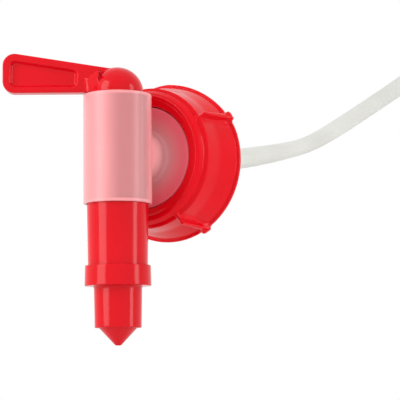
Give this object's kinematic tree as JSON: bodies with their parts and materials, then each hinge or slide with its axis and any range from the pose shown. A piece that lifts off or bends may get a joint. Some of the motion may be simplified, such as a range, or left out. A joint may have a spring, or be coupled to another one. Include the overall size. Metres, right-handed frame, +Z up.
{
  "type": "jerrycan tap",
  "caption": "Plastic jerrycan tap: lugged screw cap with a translucent body, a lever key that turns to open, a downward spout with a pointed stopper, and an air tube.",
  "frame": {"origin": "on the screw cap's axis, in the plane where the gasket seals on the rim of the can's neck", "axes": "+Y along the cap's axis into the can, -Y towards the user, +Z up along the barrel, whose axis is parallel to Z at x = 0, y = -0.030; the lever is drawn at rest 30 degrees towards the front from -X"},
  "size_m": [0.0831, 0.3911, 0.1817],
  "materials": {
    "natural_plastic": "translucent natural polyethylene, softly glossy, red key showing through",
    "red_plastic": "glossy injection-moulded polyethylene",
    "cap_plastic": "glossy injection-moulded polyethylene",
    "gasket_foam": "closed-cell foam, matte",
    "tube_plastic": "translucent extruded tube, satin"
  },
  "bodies": {
    "body": {"tap_body": "natural_plastic", "neck_gasket": "gasket_foam", "air_tube": "tube_plastic"},
    "key": {"key": "red_plastic", "spout_nozzle": "red_plastic", "nozzle_stopper": "red_plastic"},
    "cap": {"screw_cap": "cap_plastic"}
  },
  "joints": [
    {"name": "key_turn", "type": "hinge", "parent": "body", "child": "key", "pos_m": [0, -0.03, 0], "axis": [0, 0, 1], "range_deg": [-30, 60]},
    {"name": "cap_turn", "type": "hinge", "parent": "body", "child": "cap", "pos_m": [0, 0, 0], "axis": [0, 1, 0], "continuous": true}
  ]
}
